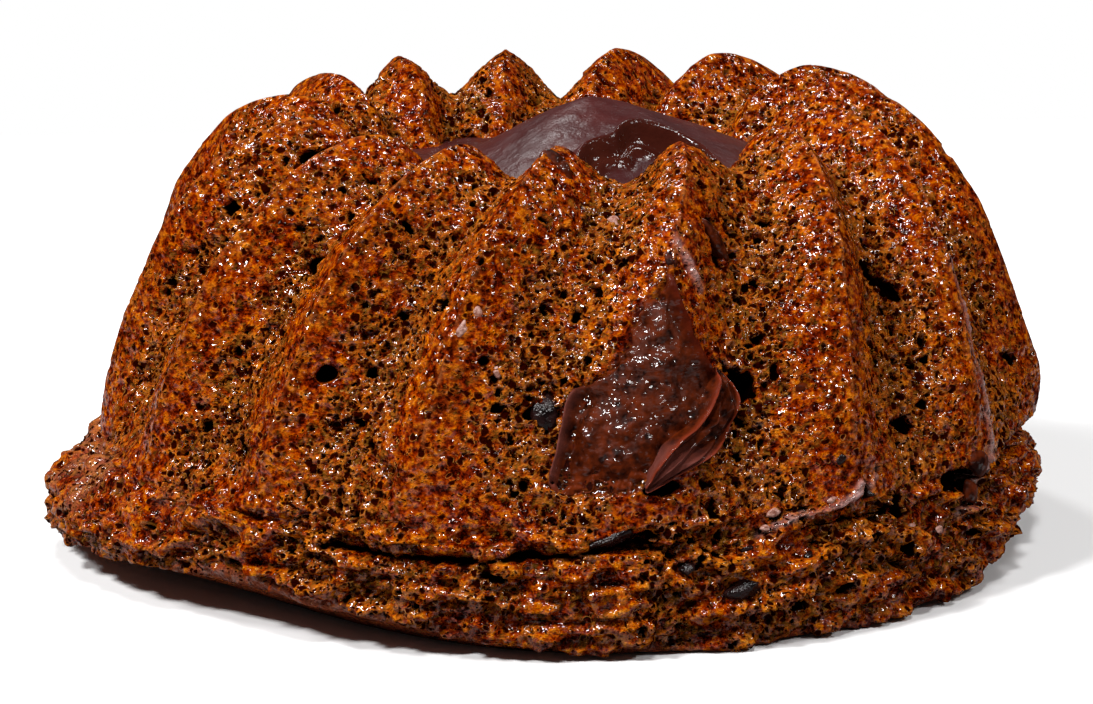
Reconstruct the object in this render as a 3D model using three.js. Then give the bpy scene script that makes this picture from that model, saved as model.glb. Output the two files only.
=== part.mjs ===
// Individual chocolate lava cake, turned out of a small fluted ring tin: a dark, open-crumbed
// sponge with fifteen swirled flutes, a mound of ganache set in its well, and a run of the same
// ganache down its front. Millimetres, +Z up, the axis of the ring on Z, underside at z = 0.
//
// Azimuths are degrees from the front (-Y) towards the left (-X), which is clockwise seen from
// above, the way the flutes swirl as they fall.

import * as THREE from 'three';

// ---- sizes: the flutes ---------------------------------------------------------------------

const FLUTE_COUNT = 15;
const FIRST_RIDGE_AZIMUTH = 3.4;
// how far each ridge stands off its even place round the ring, in degrees
const RIDGE_DRIFT = [3.7, -0.5, -3.6, -5.7, -2.8, 0.6, -1.3, -0.5, -0.4, -0.1, 5.7, 1.3, 1.8, 0, 1.8];
// how much taller than the rest each ridge stands at the crest
const RIDGE_RISE = [0, 0, 0, 0.1, 0.4, 0.3, 0.5, 0, 0, 0.1, 0.6, 0.5, 0, 0, 0];

// The outline from the ganache line over the crest and down to the foot of the flutes. Each
// station gives radius and height on a ridge and in a groove, and how far the flutes have
// swirled there, in degrees.
const OUTLINE = [
  { ridge: [19.1, 36.9], groove: [21.0, 36.9], swirl: -11 },   // ganache line
  { ridge: [22.8, 42.5], groove: [24.2, 40.1], swirl: -7.5 },  // inside of the crest
  { ridge: [27.8, 44.7], groove: [28.6, 40.5], swirl: -4.5 },  // crest
  { ridge: [34.7, 42.1], groove: [33.2, 37.2], swirl: 0.5 },   // outer shoulder
  { ridge: [40.7, 35.3], groove: [37.2, 32.1], swirl: 5.2 },   // upper flank
  { ridge: [44.4, 27.1], groove: [41.2, 25.3], swirl: 8.2 },   // middle of the flank
  { ridge: [47.0, 19.3], groove: [44.5, 18.5], swirl: 10.2 },  // lower flank
  { ridge: [48.1, 13.2], groove: [46.9, 13.0], swirl: 10.9 },  // foot of the flutes
];
const LAST_STATION = OUTLINE.length - 1;

// A flute's section is part smooth wave and part straight-sided fold, and the ridges get
// narrower as they fall.
const FOLD_SHARE = 0.4;
const FOOT_SHARPNESS = 1.3;

// how much deeper the grooves cut through the crest at the back right
const DIPS = [{ size: 2.5, azimuth: -150, halfWidth: 70 }];

// ---- sizes: the plain band under the flutes ------------------------------------------------

// radius down the band, and share of its height, from the crack under the flutes to the bottom
const BAND = [
  { radius: 47.5, share: 1 },
  { radius: 48.0, share: 0.8 },
  { radius: 48.3, share: 0.5 },
  { radius: 48.0, share: 0.22 },
  { radius: 47.2, share: 0.05 },
];
const BAND_HEIGHT = 11.0;
const BAND_SWIRL = 11.6;
const FLAT_RADIUS = 45.6;

// the crack where the risen band tore from the flutes, at the front and again at the right
const CRACKS = [
  { size: 1.8, azimuth: 12, halfWidth: 26 },
  { size: 1.6, azimuth: -88, halfWidth: 30 },
];

// the lip of batter that spread over the tin's edge at the left; it thins out towards the crack
const LIPS = [{ size: 5.4, azimuth: 80, halfWidth: 44 }];
const LIP_TAPER = 5;

// where the underside curls up off the plate, left of the front and at the right, and how much
// of the flat underside each millimetre of curl takes
const LIFTS = [
  { size: 4.1, azimuth: 47, halfWidth: 60 },
  { size: 3.4, azimuth: -92, halfWidth: 52 },
];
const FLAT_LOSS_PER_LIFT = 1.6;

// ---- sizes: the well and its ganache -------------------------------------------------------

const WELL = [
  { ridge: 6.4, groove: 6.4, z: 26.7 },
  { ridge: 12.4, groove: 12.4, z: 28.1 },
  { ridge: 16.2, groove: 16.6, z: 30.7 },
  { ridge: 18.2, groove: 19.4, z: 33.9 },
];
const WELL_FLOOR = 26.3;
const GAP = 0.3;

// the mound stands off the axis, and reaches further on its right than on its left
const MOUND_HEIGHT = 7.2;
const MOUND_APEX = new THREE.Vector2(2.4, 3.0);
const MOUND_REACH = 16.8;
const MOUND_REACH_RIGHT = 2.6;
const MOUND_BULGE = 1.2;
const MOUND_SOFTNESS = 0.15;
const MOUND_RINGS = [1, 0.87, 0.73, 0.59, 0.45, 0.31, 0.17];

// the skin of the mound has rucked up in an arch at the front, over a lower lobe
const RUCK_CENTRE = new THREE.Vector2(8.3, -10.0);
const RUCK_RADIUS = 7.2;
const RUCK_HEIGHT = 1.0;
const RUCK_WIDTH = 1.4;
const LOBE_DROP = 1.3;

// ---- sizes: the run of ganache down the front ----------------------------------------------

// its two edges by azimuth, at places down the outline counted in stations
const RUN_EDGES = [
  { station: 3.8, left: -12.8, right: -14.0 },
  { station: 4.35, left: -7.6, right: -15.0 },
  { station: 4.95, left: -4.6, right: -17.2 },
  { station: 5.45, left: 0.4, right: -20.6 },
  { station: 5.95, left: 2.0, right: -17.2 },
  { station: 6.6, left: 3.0, right: -8.5 },
];
const RUN_THICKNESS = 0.9;
// it is thinnest at its rim, and rounds off over a share of its length and width
const RUN_RIM = 0.25;
const RUN_ROUNDED_SHARE = 0.25;
// the skin of the run has peeled into a fold along its lower right edge, which stands up between
// these shares of the way down and of the way across
const PEEL_HEIGHT = 1.5;
const PEEL_DOWN = [0.5, 0.65];
const PEEL_ACROSS = [0.55, 0.8];

// ---- how finely the surfaces are cut -------------------------------------------------------

const SPONGE_COLUMNS_PER_FLUTE = 8;
const GANACHE_COLUMNS_PER_FLUTE = 4;
const ROWS_PER_STATION = 2;
const RUN_ROWS = 16;
const RUN_COLUMNS = 12;

// ---- shared curves -------------------------------------------------------------------------

const { lerp, smoothstep, euclideanModulo } = THREE.MathUtils;

/** A point at an azimuth, radius and height. */
function place(azimuth, radius, z) {
  const angle = THREE.MathUtils.degToRad(azimuth);
  return new THREE.Vector3(-radius * Math.sin(angle), -radius * Math.cos(angle), z);
}

/** The sum at an azimuth of a list of bells, each 0 beyond its half width. */
function sumOfBells(bells, azimuth) {
  return bells.reduce((sum, bell) => {
    const off = euclideanModulo(azimuth - bell.azimuth + 180, 360) - 180;
    const share = Math.min(1, Math.abs(off) / bell.halfWidth);
    return sum + bell.size * (0.5 + 0.5 * Math.cos(Math.PI * share));
  }, 0);
}

function smoothCurve(points) {
  return new THREE.CatmullRomCurve3(points, false, 'catmullrom', 0.5);
}

// each curve holds radius in x, height in y and swirl in z
const ridgeCurve = smoothCurve(OUTLINE.map((s) => new THREE.Vector3(...s.ridge, s.swirl)));
const grooveCurve = smoothCurve(OUTLINE.map((s) => new THREE.Vector3(...s.groove, s.swirl)));

/** Azimuth of a ridge before swirl; ridge 15 is ridge 0 again, one turn on. */
function ridgeAzimuth(index) {
  const turn = Math.floor(index / FLUTE_COUNT) * 360;
  const k = index % FLUTE_COUNT;
  return FIRST_RIDGE_AZIMUTH + (k * 360) / FLUTE_COUNT + RIDGE_DRIFT[k] + turn;
}

/** Height of a flute's section, 1 on its ridges (share 0 and 1) and 0 in its groove. */
function fluteSection(share, sharpness) {
  const wave = 0.5 + 0.5 * Math.cos(2 * Math.PI * share);
  const fold = Math.abs(1 - 2 * share);
  return lerp(wave, fold, FOLD_SHARE) ** sharpness;
}

/** One column of a grid round the cake, at a share of the way from ridge k to the next. */
function columnAt(k, share) {
  return {
    azimuth: lerp(ridgeAzimuth(k), ridgeAzimuth(k + 1), share),
    rise: lerp(RIDGE_RISE[k], RIDGE_RISE[(k + 1) % FLUTE_COUNT], share),
    share,
  };
}

function columns(perFlute) {
  const list = [];
  for (let k = 0; k < FLUTE_COUNT; k += 1) {
    for (let j = 0; j < perFlute; j += 1) {
      list.push(columnAt(k, j / perFlute));
    }
  }
  return list;
}

/** The fluted surface at a station of the outline, on one column. */
function flutedPoint(station, { azimuth, rise, share }) {
  const t = station / LAST_STATION;
  const section = fluteSection(share, lerp(1, FOOT_SHARPNESS, t));
  const spot = grooveCurve.getPoint(t).lerp(ridgeCurve.getPoint(t), section);
  const crestShare = Math.sin(Math.PI * Math.min(1, 2 * t));
  const dip = sumOfBells(DIPS, azimuth) * (1 - section);
  return place(azimuth + spot.z, spot.x, spot.y + (rise - dip) * crestShare);
}

/** The rings of the well below the ganache line, from its floor up, drawn in by an inset. */
function wellRings(perFlute, inset) {
  return WELL.map((row) => columns(perFlute).map(({ azimuth, share }) => {
    const radius = lerp(row.groove, row.ridge, fluteSection(share, 1));
    return place(azimuth + OUTLINE[0].swirl, radius - inset, row.z + inset);
  }));
}

function geometryFrom(vertices, faces) {
  const positions = vertices.flatMap((vertex) => vertex.toArray());
  const geometry = new THREE.BufferGeometry();
  geometry.setAttribute('position', new THREE.Float32BufferAttribute(positions, 3));
  geometry.setIndex(faces);
  geometry.computeVertexNormals();
  return geometry;
}

/** A closed skin over a stack of rings, with a point closing it at each end. */
function skinOverRings(firstPoint, rings, lastPoint) {
  const count = rings[0].length;
  const vertices = [firstPoint, ...rings.flat(), lastPoint];
  const faces = [];
  const at = (row, column) => 1 + row * count + (column % count);
  for (let j = 0; j < count; j += 1) {
    faces.push(0, at(0, j + 1), at(0, j));
    for (let row = 0; row + 1 < rings.length; row += 1) {
      faces.push(at(row, j), at(row + 1, j + 1), at(row + 1, j));
      faces.push(at(row, j), at(row, j + 1), at(row + 1, j + 1));
    }
    faces.push(at(rings.length - 1, j), at(rings.length - 1, j + 1), vertices.length - 1);
  }
  return geometryFrom(vertices, faces);
}

// ---- sponge --------------------------------------------------------------------------------

function flutedRings() {
  const rings = [];
  for (let i = 0; i <= LAST_STATION * ROWS_PER_STATION; i += 1) {
    const station = i / ROWS_PER_STATION;
    rings.push(columns(SPONGE_COLUMNS_PER_FLUTE).map((column) => flutedPoint(station, column)));
  }
  return rings;
}

function bandRings() {
  return BAND.map(({ radius, share }) => columns(SPONGE_COLUMNS_PER_FLUTE).map(({ azimuth }) => {
    const at = azimuth + BAND_SWIRL;
    const lip = sumOfBells(LIPS, at) * (1 - share ** LIP_TAPER);
    const crack = share === 1 ? sumOfBells(CRACKS, at) : 0;
    return place(at, radius + lip - crack, lerp(sumOfBells(LIFTS, at), BAND_HEIGHT, share));
  }));
}

function flatRing() {
  return columns(SPONGE_COLUMNS_PER_FLUTE).map(({ azimuth }) => {
    const at = azimuth + BAND_SWIRL;
    return place(at, FLAT_RADIUS - FLAT_LOSS_PER_LIFT * sumOfBells(LIFTS, at), 0);
  });
}

const sponge = new THREE.Mesh(
  skinOverRings(
    new THREE.Vector3(0, 0, WELL_FLOOR),
    [...wellRings(SPONGE_COLUMNS_PER_FLUTE, 0), ...flutedRings(), ...bandRings(), flatRing()],
    new THREE.Vector3(0, 0, 0),
  ),
  new THREE.MeshStandardMaterial({ color: 0x7c4116, roughness: 0.65, metalness: 0 }),
);
sponge.name = 'sponge';

// ---- ganache in the well -------------------------------------------------------------------

/** Height of the mound's skin over the ganache line. */
function moundHeight(x, y) {
  const fromApex = new THREE.Vector2(x, y).sub(MOUND_APEX);
  const distance = fromApex.length();
  const reach = MOUND_REACH + (distance > 0 ? (MOUND_REACH_RIGHT * fromApex.x) / distance : 0);
  const slope = 1 - (distance / reach) ** MOUND_BULGE;
  const dome = MOUND_HEIGHT * 0.5 * (slope + Math.hypot(slope, MOUND_SOFTNESS));
  const fromRuck = new THREE.Vector2(x, y).distanceTo(RUCK_CENTRE) - RUCK_RADIUS;
  const ruck = RUCK_HEIGHT * Math.exp(-((fromRuck / RUCK_WIDTH) ** 2));
  const drop = LOBE_DROP * (1 - smoothstep(fromRuck, -RUCK_WIDTH * 2, 0));
  return dome + ruck - drop * Math.min(1, dome / LOBE_DROP);
}

function ganacheEdge() {
  return columns(GANACHE_COLUMNS_PER_FLUTE).map((column) => {
    const wall = flutedPoint(0, column);
    const inset = 1 - GAP / Math.hypot(wall.x, wall.y);
    return new THREE.Vector3(wall.x * inset, wall.y * inset, wall.z);
  });
}

/** A ring of the mound's skin, at a share of the way from the apex out to its edge. */
function moundRing(share) {
  return ganacheEdge().map((edge) => {
    const x = lerp(MOUND_APEX.x, edge.x, share);
    const y = lerp(MOUND_APEX.y, edge.y, share);
    return new THREE.Vector3(x, y, edge.z + moundHeight(x, y));
  });
}

const ganacheLine = OUTLINE[0].ridge[1];
const { x: apexX, y: apexY } = MOUND_APEX;
const ganacheCore = new THREE.Mesh(
  skinOverRings(
    new THREE.Vector3(apexX, apexY, ganacheLine + moundHeight(apexX, apexY)),
    [
      ...MOUND_RINGS.map(moundRing).reverse(),
      ...wellRings(GANACHE_COLUMNS_PER_FLUTE, GAP).reverse(),
    ],
    new THREE.Vector3(0, 0, WELL_FLOOR + GAP),
  ),
  new THREE.MeshStandardMaterial({ color: 0x4a2a28, roughness: 0.35, metalness: 0 }),
);
ganacheCore.name = 'ganache_core';

// ---- the run of ganache down the front ------------------------------------------------------

// how far to either side the slope of the flank is felt, in stations and in degrees
const SLOPE_STEP = 0.05;
const SLOPE_TURN = 0.5;

const runEdgeCurve = smoothCurve(RUN_EDGES.map((e) => new THREE.Vector3(e.station, e.left, e.right)));

/** The column of the fluted surface that passes through an azimuth at a station. */
function columnThrough(station, azimuth) {
  const swirl = ridgeCurve.getPoint(station / LAST_STATION).z;
  const start = ridgeAzimuth(0);
  const turned = start + euclideanModulo(azimuth - swirl - start, 360);
  let k = 0;
  while (ridgeAzimuth(k + 1) <= turned) {
    k += 1;
  }
  const share = (turned - ridgeAzimuth(k)) / (ridgeAzimuth(k + 1) - ridgeAzimuth(k));
  return columnAt(k, share);
}

/** A point standing off the fluted surface along its normal. */
function offSurface(station, azimuth, distance) {
  const at = (s, a) => flutedPoint(s, columnThrough(s, a));
  const down = at(station + SLOPE_STEP, azimuth).sub(at(station - SLOPE_STEP, azimuth));
  const across = at(station, azimuth - SLOPE_TURN).sub(at(station, azimuth + SLOPE_TURN));
  const outward = down.cross(across).normalize();
  return at(station, azimuth).addScaledVector(outward, distance);
}

/** Thickness of the run: rounded off at its rim, with the peeled fold low on its right. */
function runThickness(down, across) {
  const fromRim = Math.min(down, 1 - down, across, 1 - across);
  const inward = Math.min(1, fromRim / RUN_ROUNDED_SHARE);
  const peel = smoothstep(down, ...PEEL_DOWN) * smoothstep(across, ...PEEL_ACROSS);
  return RUN_RIM + inward * (RUN_THICKNESS + PEEL_HEIGHT * peel);
}

/** A closed slab between two grids of the same shape, the front one facing out. */
function slabBetween(front, back) {
  const rows = front.length;
  const count = front[0].length;
  const vertices = [...front.flat(), ...back.flat()];
  const face = (row, column) => row * count + column;
  const rear = (row, column) => rows * count + face(row, column);
  const faces = [];
  for (let i = 0; i + 1 < rows; i += 1) {
    for (let j = 0; j + 1 < count; j += 1) {
      faces.push(face(i, j), face(i + 1, j), face(i + 1, j + 1));
      faces.push(face(i, j), face(i + 1, j + 1), face(i, j + 1));
      faces.push(rear(i, j), rear(i + 1, j + 1), rear(i + 1, j));
      faces.push(rear(i, j), rear(i, j + 1), rear(i + 1, j + 1));
    }
  }
  const downwards = front.map((_, i) => i);
  const rightwards = front[0].map((_, j) => j);
  const rim = [
    ...downwards.map((i) => [i, 0]),
    ...rightwards.slice(1).map((j) => [rows - 1, j]),
    ...downwards.slice(0, -1).reverse().map((i) => [i, count - 1]),
    ...rightwards.slice(1, -1).reverse().map((j) => [0, j]),
  ];
  rim.forEach((here, index) => {
    const next = rim[(index + 1) % rim.length];
    faces.push(face(...here), rear(...here), rear(...next));
    faces.push(face(...here), rear(...next), face(...next));
  });
  return geometryFrom(vertices, faces);
}

function runGrid(distanceAt) {
  const grid = [];
  for (let i = 0; i < RUN_ROWS; i += 1) {
    const down = i / (RUN_ROWS - 1);
    const edges = runEdgeCurve.getPoint(down);
    const row = [];
    for (let j = 0; j < RUN_COLUMNS; j += 1) {
      const across = j / (RUN_COLUMNS - 1);
      row.push(offSurface(edges.x, lerp(edges.y, edges.z, across), distanceAt(down, across)));
    }
    grid.push(row);
  }
  return grid;
}

const ganacheRun = new THREE.Mesh(
  slabBetween(
    runGrid((down, across) => GAP + runThickness(down, across)),
    runGrid(() => GAP),
  ),
  new THREE.MeshStandardMaterial({ color: 0x3d1a12, roughness: 0.25, metalness: 0 }),
);
ganacheRun.name = 'ganache_run';

// ---- the cake ------------------------------------------------------------------------------

const cake = new THREE.Group();
cake.add(sponge, ganacheCore, ganacheRun);

export default cake;
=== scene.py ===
import math

import bpy
import numpy as np
from mathutils import Matrix, Vector


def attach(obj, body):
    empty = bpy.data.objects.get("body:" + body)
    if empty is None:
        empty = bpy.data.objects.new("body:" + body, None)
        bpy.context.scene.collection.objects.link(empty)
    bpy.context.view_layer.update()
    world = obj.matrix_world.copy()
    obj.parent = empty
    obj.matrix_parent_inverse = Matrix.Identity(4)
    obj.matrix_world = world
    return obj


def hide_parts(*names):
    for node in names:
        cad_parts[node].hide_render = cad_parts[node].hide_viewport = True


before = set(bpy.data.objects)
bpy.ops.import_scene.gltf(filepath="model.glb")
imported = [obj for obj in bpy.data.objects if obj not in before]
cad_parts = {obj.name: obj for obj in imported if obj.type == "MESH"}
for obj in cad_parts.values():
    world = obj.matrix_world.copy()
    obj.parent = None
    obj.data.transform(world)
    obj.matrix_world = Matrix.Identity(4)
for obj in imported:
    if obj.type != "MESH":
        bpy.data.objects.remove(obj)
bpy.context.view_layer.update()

# ---- sponge: the fluted ring ---------------------------------------------------------------------
# The body of the cake is one piece of dark chocolate batter, baked in a fluted ring tin and turned
# out: fifteen swirled ridges with moist, caramelised crests, and open, lacy crumb between them.
# It is meshed here in four wedges that meet in the grooves, each closed by a point on the axis.

# sizes are in mm, and azimuths in degrees: 0 in front, and positive to the left
MM = 0.001
FLUTE_COUNT = 15
FIRST_RIDGE_AZIMUTH = 3.4
# how far each ridge stands from its even place, in degrees, and how much taller its crest is
RIDGE_DRIFT = [3.7, -0.5, -3.6, -5.7, -2.8, 0.6, -1.3, -0.5, -0.4, -0.1, 5.7, 1.3, 1.8, 0.0, 1.8]
RIDGE_RISE = [0, 0, 0, 0.1, 0.4, 0.3, 0.5, 0, 0, 0.1, 0.6, 0.5, 0, 0, 0]

# radius, height and swirl in degrees down a ridge and down a groove, from the ganache line over
# the crest to the foot of the flutes
RIDGE_LINE = np.array([
    (19.1, 36.9, -11.0), (22.8, 42.5, -7.5), (27.8, 44.7, -4.5), (34.7, 42.1, 0.5),
    (40.7, 35.3, 5.2), (44.4, 27.1, 8.2), (47.0, 19.3, 10.2), (48.1, 13.2, 10.9),
])
GROOVE_LINE = np.array([
    (21.0, 36.9, -11.0), (24.2, 40.1, -7.5), (28.6, 40.5, -4.5), (33.2, 37.2, 0.5),
    (37.2, 32.1, 5.2), (41.2, 25.3, 8.2), (44.5, 18.5, 10.2), (46.9, 13.0, 10.9),
])
# a station is a place down those lines, and the band's below, counted in rows
CREST_STATION = 2
FOOT_STATION = len(RIDGE_LINE) - 1
# a flute's section is part smooth wave and part straight-sided fold, sharper at its foot
FOLD_SHARE = 0.4
FOOT_SHARPNESS = 1.3

# radius down the plain band under the flutes, and the share of its height
BAND_LINE = np.array([(47.5, 1.0), (48.0, 0.8), (48.3, 0.5), (48.0, 0.22), (47.2, 0.05)])
BAND_STATION = FOOT_STATION + 1
UNDER_STATION = BAND_STATION + len(BAND_LINE) - 1
BAND_HEIGHT = 11.0
BAND_SWIRL = 11.6
FLAT_RADIUS = 45.6
# size, azimuth and half width of the lip of batter that spread at the left, of the places where
# the underside curls up, and of the deeper grooves through the crest at the back right
LIPS = [(5.4, 80, 44)]
LIFTS = [(4.1, 47, 60), (3.4, -92, 52)]
DIPS = [(2.5, -150, 70)]
LIP_TAPER = 5
FLAT_LOSS_PER_LIFT = 1.6
AXIS_POINT = (0.0, 0.0, 10.0)


def smoothstep(low, high, x):
    """0 up to low, 1 from high on, and a smooth step between; low may be the greater."""
    t = np.clip((x - low) / (high - low), 0, 1)
    return t * t * (3 - 2 * t)


def along(line, station):
    """Catmull-Rom curve through the rows of a table, read at stations counted in rows."""
    line = np.vstack([2 * line[0] - line[1], line, 2 * line[-1] - line[-2]])
    station = np.clip(station, 0, len(line) - 3)
    i = np.minimum(station.astype(int), len(line) - 4)
    t = (station - i)[..., None]
    a, b, c, d = (line[i + n] for n in range(4))
    start, end = (c - a) / 2, (d - b) / 2
    return b + t * start + t**2 * (3 * (c - b) - 2 * start - end) + t**3 * (2 * (b - c) + start + end)


def sum_of_bells(bells, azimuth):
    """The sum at an azimuth of rounded bells, each 0 beyond its half width."""
    total = 0
    for size, centre, half_width in bells:
        off = (azimuth - centre + 180) % 360 - 180
        total = total + size * (0.5 + 0.5 * np.cos(np.pi * np.minimum(1, abs(off) / half_width)))
    return total


def flute_section(share, sharpness):
    """Height of a flute's section, 1 on its ridges (share 0 and 1) and 0 in its groove."""
    wave = 0.5 + 0.5 * np.cos(2 * np.pi * share)
    fold = abs(1 - 2 * share)
    return (wave + FOLD_SHARE * (fold - wave)) ** sharpness


def place(azimuth, radius, z):
    """The point at an azimuth, a distance from the axis and a height."""
    angle = np.radians(azimuth)
    return np.stack([-radius * np.sin(angle), -radius * np.cos(angle), z], axis=-1)


def ridge_azimuth(flute):
    """Azimuth before swirl at a place counted in flutes, and how tall the crest stands there."""
    k = np.floor(flute).astype(int)
    share = flute - k
    azimuths, rises = [], []
    for n in (k, k + 1):
        even = FIRST_RIDGE_AZIMUTH + n * 360 / FLUTE_COUNT
        azimuths.append(even + np.take(RIDGE_DRIFT, n % FLUTE_COUNT))
        rises.append(np.take(RIDGE_RISE, n % FLUTE_COUNT))
    return azimuths[0] + share * (azimuths[1] - azimuths[0]), rises[0] + share * (rises[1] - rises[0])


def sponge_surface(station, flute):
    """Smooth skin of the sponge, in mm, at stations down the outline and places round the ring."""
    azimuth, rise = ridge_azimuth(flute)
    share = flute - np.floor(flute)
    t = np.clip(station / FOOT_STATION, 0, 1)
    section = flute_section(share, 1 + t * (FOOT_SHARPNESS - 1))[..., None]
    ridge, groove = along(RIDGE_LINE, station), along(GROOVE_LINE, station)
    spot = groove + section * (ridge - groove)
    crest_share = np.sin(np.pi * np.minimum(1, 2 * t))
    dip = sum_of_bells(DIPS, azimuth) * (1 - section[..., 0])
    fluted = place(azimuth + spot[..., 2], spot[..., 0], spot[..., 1] + (rise - dip) * crest_share)

    at = azimuth + BAND_SWIRL
    lift = sum_of_bells(LIFTS, at)
    band = along(BAND_LINE, station - BAND_STATION)
    radius, height = band[..., 0], band[..., 1]
    radius = radius + sum_of_bells(LIPS, at) * (1 - np.clip(height, 0, 1) ** LIP_TAPER)
    z = lift + height * (BAND_HEIGHT - lift)
    under = np.clip(station - UNDER_STATION, 0, 1)
    flat = FLAT_RADIUS - FLAT_LOSS_PER_LIFT * lift
    centre = np.clip(station - UNDER_STATION - 1, 0, 1)
    radius = (radius + under * (flat - radius)) * (1 - centre)
    banded = place(at, radius, z * (1 - under))
    into_band = smoothstep(FOOT_STATION, BAND_STATION, station)[..., None]
    return fluted + into_band * (banded - fluted)


def flute_at(azimuth, station):
    """The place round the ring, counted in flutes, that passes an azimuth at a station."""
    into_band = smoothstep(FOOT_STATION, BAND_STATION, station)
    swirl = along(RIDGE_LINE, station)[..., 2] * (1 - into_band) + BAND_SWIRL * into_band
    places = np.arange(-FLUTE_COUNT, 2 * FLUTE_COUNT)
    return np.interp(azimuth - swirl, ridge_azimuth(places)[0], places)


HALVINGS = 24


def flank_station(azimuth, height):
    """The station on the outside of the cake where the skin at an azimuth is at a height."""
    above = np.full(np.shape(azimuth), CREST_STATION + 0.2)
    below = np.full(np.shape(azimuth), float(UNDER_STATION))
    for _ in range(HALVINGS):
        middle = (above + below) / 2
        high = sponge_surface(middle, flute_at(azimuth, middle))[..., 2] > height
        above, below = np.where(high, middle, above), np.where(high, below, middle)
    return above


def lattice_random(cell, seed):
    """A number from 0 to 1 for each cell of a lattice, the same on every run."""
    i, j, k = (cell[..., n].astype(np.int64).astype(np.uint32) for n in range(3))
    h = i * np.uint32(0x8DA6B343) ^ j * np.uint32(0xD8163841) ^ k * np.uint32(0xCB1AB31F)
    h = h ^ np.uint32(seed * 0x9E3779B1 & 0xFFFFFFFF)
    for shift, factor in ((15, 0x2C1B3C6D), (12, 0x297A2D39), (15, 0x5BD1E995)):
        h = (h ^ (h >> np.uint32(shift))) * np.uint32(factor)
    return (h ^ (h >> np.uint32(16))) / 4294967296.0


def lumps(points, size, seed):
    """Smooth noise from -1 to 1 with lumps of about a size in mm."""
    p = points / size
    cell = np.floor(p)
    f = p - cell
    f = f * f * (3 - 2 * f)
    total = 0
    for corner in np.ndindex(2, 2, 2):
        weight = np.prod(np.where(corner, f, 1 - f), axis=-1)
        total = total + weight * lattice_random(cell + np.array(corner), seed)
    return total * 2 - 1


def layered(points, layers):
    """The sum of layers of lumps, each given by its height, its size and a seed."""
    return sum(height * lumps(points, size, seed) for height, size, seed in layers)


def bell(x, centre, width):
    return np.exp(-(((x - centre) / width) ** 2))


RIM_WIDTH = 0.16
SMALLER_POWER = 1.5
DEEPEST_CUT_IN_RADII = 2.2


def bubbles(points, normals, cell, low, high, chance, seed):
    """How deep gas bubbles cut the skin, and how near each point is to a bubble's rim.

    A cell of the lattice holds one bubble by chance, of a radius from low to high, mostly small.
    """
    home = np.floor(points / cell - 0.5)
    depth = np.zeros(len(points))
    rim = np.zeros(len(points))
    for step in np.ndindex(2, 2, 2):
        here = home + np.array(step)
        centre = here + np.stack([lattice_random(here, seed + n) for n in range(3)], axis=-1)
        radius = low + (high - low) * lattice_random(here, seed + 3) ** SMALLER_POWER
        there = lattice_random(here, seed + 4) < chance
        away = points - centre * cell
        square = (away * away).sum(axis=-1)
        inside = there & (square < radius**2)
        height = (away * normals).sum(axis=-1)
        cut = height + np.sqrt(np.maximum(0, height**2 - square + radius**2))
        depth = np.where(inside, np.maximum(depth, np.minimum(cut, DEEPEST_CUT_IN_RADII * radius)), depth)
        near = bell(np.sqrt(square), radius, RIM_WIDTH)
        rim = np.where(there & ~inside, np.maximum(rim, near), rim)
    return depth, rim * (depth == 0)


def grid_normals(grid):
    normal = np.cross(np.gradient(grid, axis=1), np.gradient(grid, axis=0))
    return normal / (np.linalg.norm(normal, axis=-1, keepdims=True) + 1e-12)


FINE_STEPS = 2000
HALFWAY_TO_GROOVE = 0.25


def even_stations(first, last, spacing):
    """Stations spaced evenly in mm down the skin, halfway between a ridge and a groove."""
    fine = np.linspace(first, last, FINE_STEPS)
    path = sponge_surface(fine, np.full(fine.shape, HALFWAY_TO_GROOVE))
    length = np.concatenate([[0], np.cumsum(np.linalg.norm(np.diff(path, axis=0), axis=1))])
    count = int(length[-1] / spacing) + 2
    return np.interp(np.linspace(0, length[-1], count), length, fine)


# outside this radius the skin is on the cake's outer flank
FLANK_RADIUS = 24
# holes that stand out in the crumb: azimuth, height, half width, half height and depth
BIG_HOLES = [
    (-22.3, 24.0, 1.9, 1.5, 2.4), (59.0, 41.9, 1.2, 0.8, 1.6), (41.5, 33.6, 1.0, 0.8, 1.4),
    (38.5, 32.6, 1.5, 0.7, 1.8), (31.6, 25.2, 0.95, 0.95, 1.6), (-49.5, 31.4, 1.3, 1.6, 1.6),
    (-51.5, 29.6, 1.0, 0.9, 1.4), (-45.5, 18.0, 1.3, 0.9, 1.6), (-51.5, 11.8, 2.6, 1.1, 2.2),
    (-56.0, 11.4, 1.4, 1.3, 2.0), (-10.5, 16.2, 2.0, 0.8, 2.0), (4.8, 22.6, 0.9, 0.8, 1.2),
    (-22.5, 36.9, 0.9, 2.4, 1.3), (-44.0, 24.0, 0.8, 0.6, 1.2), (-35.5, 13.5, 0.7, 1.4, 1.5),
    (12.0, 36.4, 0.6, 0.5, 1.0), (47.0, 20.2, 0.6, 0.5, 1.0), (10.6, 27.5, 0.6, 0.5, 0.9),
    (150.0, 22.0, 1.2, 0.9, 1.6), (118.0, 31.0, 0.9, 1.1, 1.4), (-140.0, 27.0, 1.3, 0.8, 1.6),
    (-112.0, 17.0, 1.1, 0.9, 1.5), (172.0, 12.0, 2.2, 0.7, 1.8), (-165.0, 33.0, 0.8, 0.8, 1.2),
]
RAGGED_HOLES = [(0.22, 0.7, 71), (0.2, 1.6, 72)]


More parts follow.
